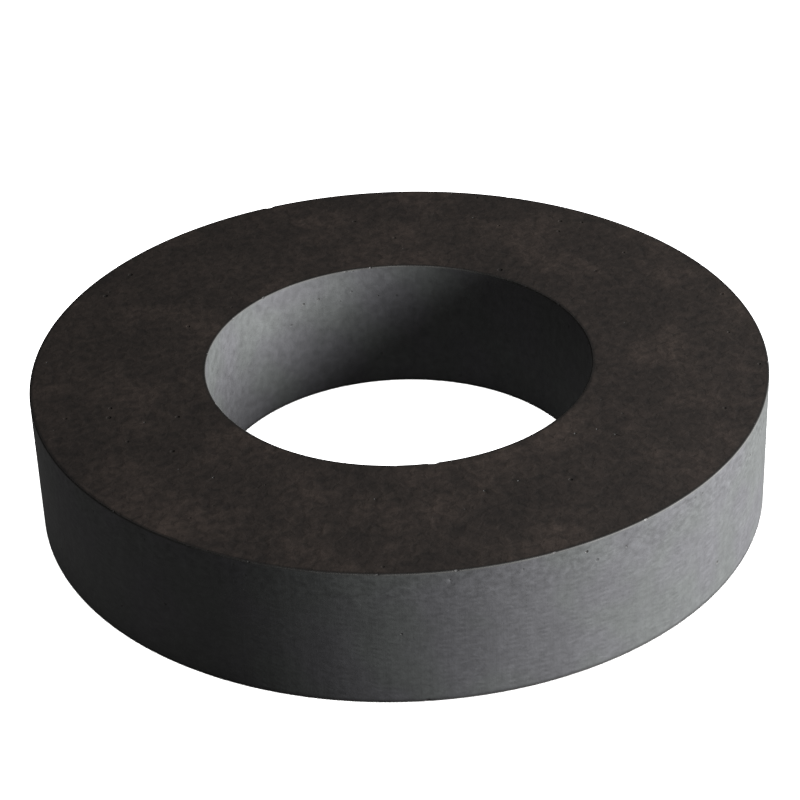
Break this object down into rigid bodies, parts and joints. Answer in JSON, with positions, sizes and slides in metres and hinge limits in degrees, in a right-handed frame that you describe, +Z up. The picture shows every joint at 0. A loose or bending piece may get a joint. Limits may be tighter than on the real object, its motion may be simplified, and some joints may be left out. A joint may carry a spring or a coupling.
{
  "type": "ferrite ring magnet",
  "caption": "Thick flat dark ceramic ring with a plain straight bore, ground pole faces and matt walls; holds or is held by steel along its axis.",
  "frame": {"origin": "centre of the lower pole face, on the bore's axis", "axes": "+Z up the bore's axis, through the thickness; X and Y lie across the ring, which is the same in every direction"},
  "size_m": [0.08, 0.08, 0.0155],
  "materials": {
    "ferrite": "dark sintered ferrite, ground matt on both pole faces, as sintered on the outer wall and in the bore"
  },
  "bodies": {
    "root": {"ring_magnet": "ferrite"}
  },
  "joints": []
}
